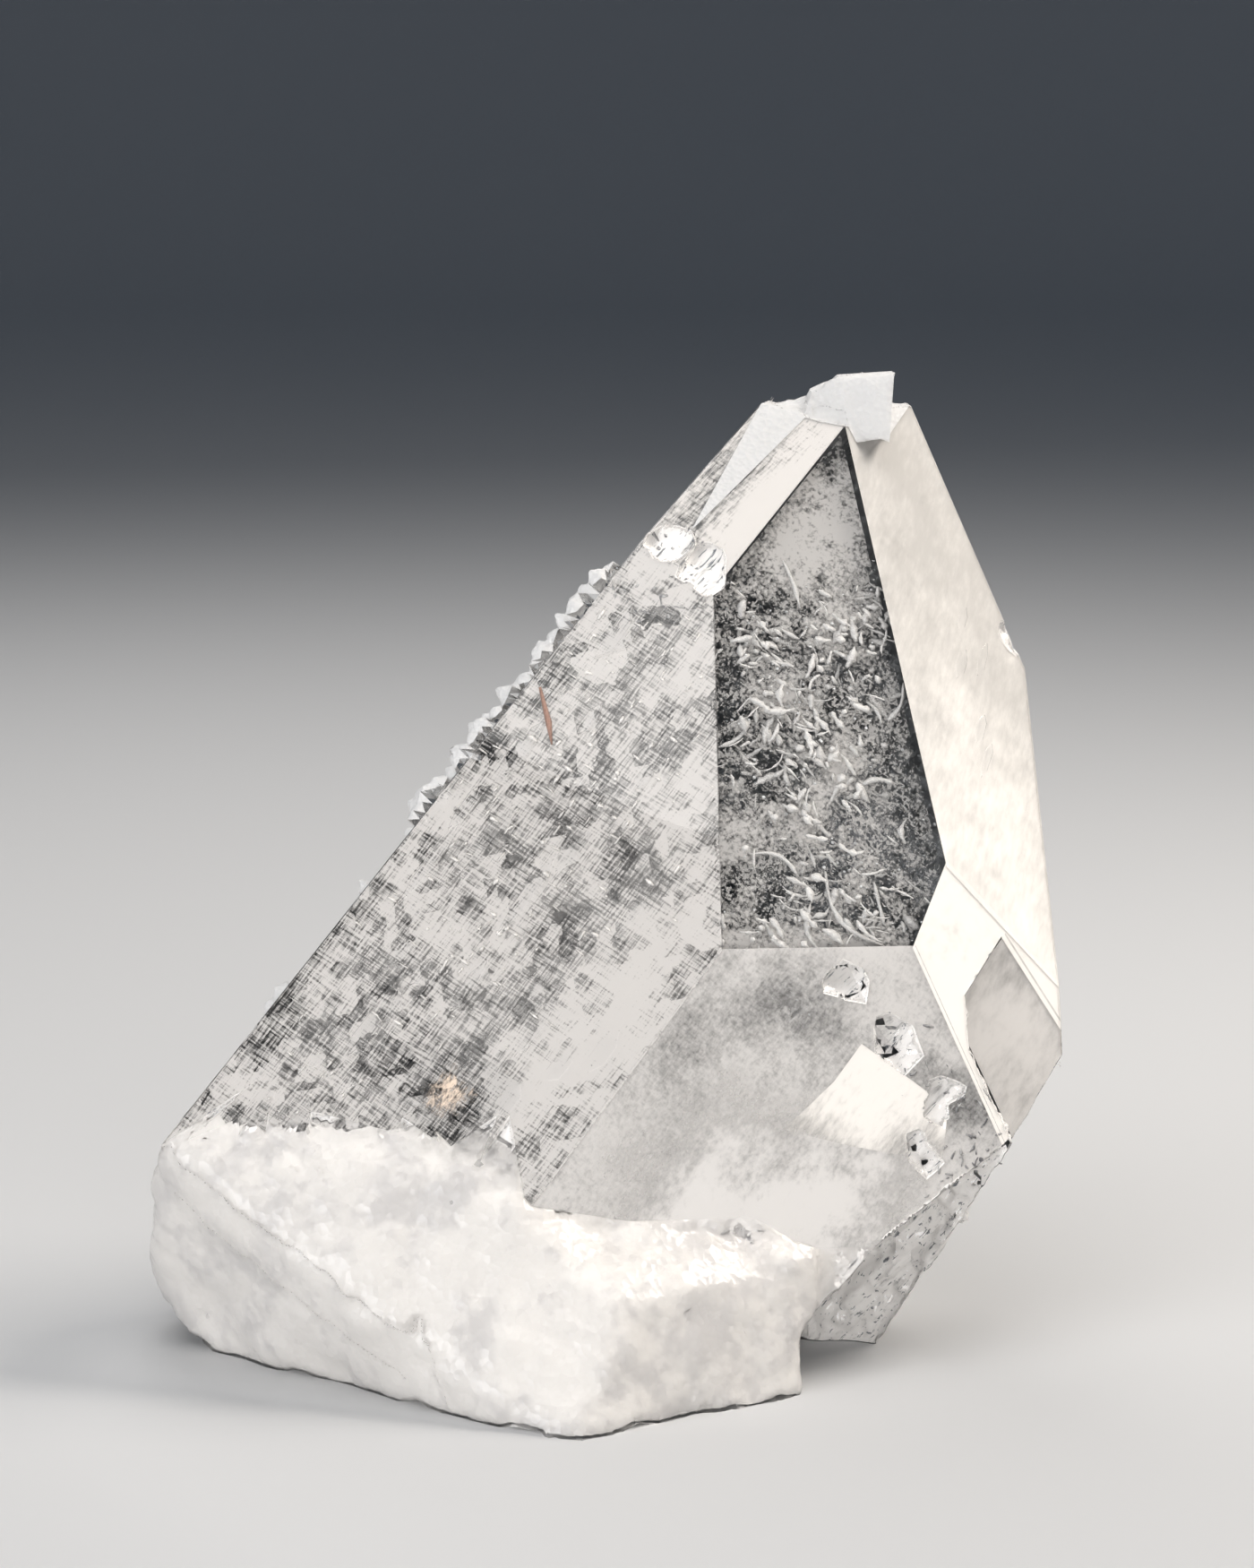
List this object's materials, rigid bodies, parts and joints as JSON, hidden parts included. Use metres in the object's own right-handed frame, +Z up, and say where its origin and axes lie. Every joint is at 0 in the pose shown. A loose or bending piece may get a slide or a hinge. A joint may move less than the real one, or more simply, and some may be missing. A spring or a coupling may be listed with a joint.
{
  "type": "self-healed quartz crystal",
  "caption": "Self-healed clear quartz crystal, a display specimen with steep flat growth faces, a milky lumpy foot and small white crystals along an edge.",
  "frame": {"origin": "centre of the crystal's bounding box in X and Y, at the height of the surface that it stands on", "axes": "+Z up as the crystal stands, +X to the right when its two large front faces are seen, -Y to the front"},
  "size_m": [0.0526, 0.0398, 0.0544],
  "materials": {
    "quartz": "natural growth faces, clear to milky, with rough broken ends"
  },
  "bodies": {
    "root": {"quartz_crystal": "quartz"}
  },
  "joints": []
}
